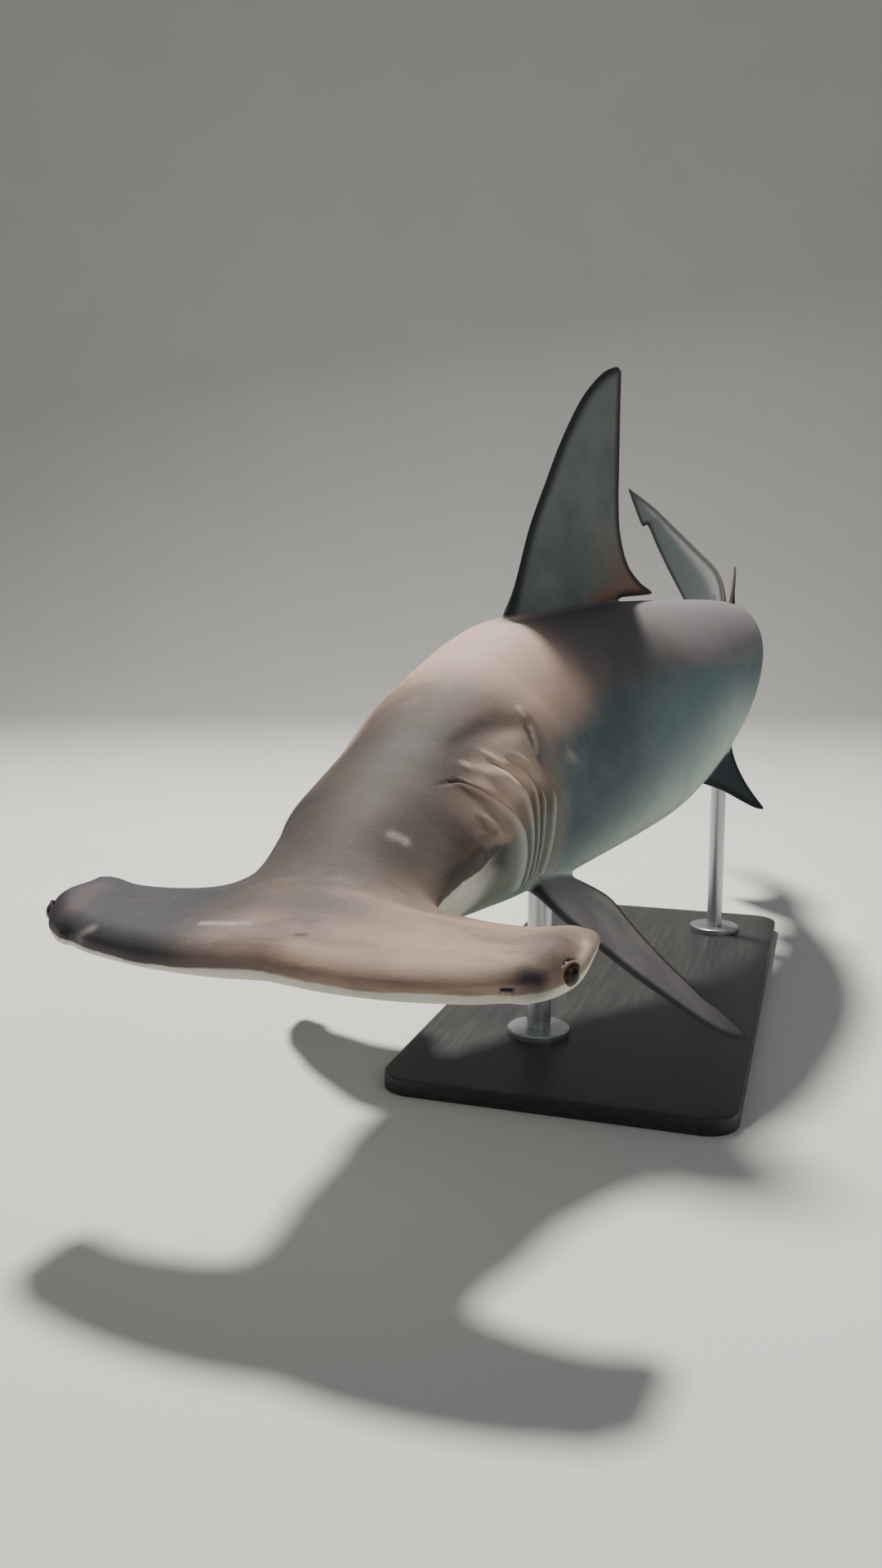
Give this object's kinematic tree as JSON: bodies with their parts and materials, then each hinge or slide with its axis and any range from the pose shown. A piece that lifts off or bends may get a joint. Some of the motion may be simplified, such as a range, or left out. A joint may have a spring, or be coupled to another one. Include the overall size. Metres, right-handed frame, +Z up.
{
  "type": "great hammerhead shark display model",
  "caption": "Life-size still model of a great hammerhead shark, banked and bent as it swims, held above a flat base on plain rods.",
  "frame": {"origin": "middle of the stand base's underside, on the floor", "axes": "+Z up, the shark's length along Y with its head towards -Y, and +X towards its left side"},
  "size_m": [0.9587, 2.8738, 1.3137],
  "materials": {
    "skin": "satin painted skin, taupe brown above, slate on the fins and pale below",
    "eye": "glossy dark eye",
    "stand_base": "satin black stained board",
    "stand_metal": "brushed",
    "stand_pad": "matte"
  },
  "bodies": {
    "root": {"anal_fin": "skin", "caudal_lower_lobe": "skin", "caudal_upper_lobe": "skin", "eye_left": "eye", "eye_right": "eye", "first_dorsal_fin": "skin", "gill_region": "skin", "hammer_lobe_left": "skin", "hammer_lobe_right": "skin", "head_core": "skin", "pectoral_fin_left": "skin", "pectoral_fin_right": "skin", "pelvic_fin_left": "skin", "pelvic_fin_right": "skin", "second_dorsal_fin": "skin", "stand_base": "stand_base", "stand_collar_front": "stand_metal", "stand_collar_rear": "stand_metal", "stand_pad_front": "stand_pad", "stand_pad_rear": "stand_pad", "stand_rod_front": "stand_metal", "stand_rod_rear": "stand_metal", "tail_stalk": "skin", "trunk_front": "skin", "trunk_rear": "skin"}
  },
  "joints": []
}
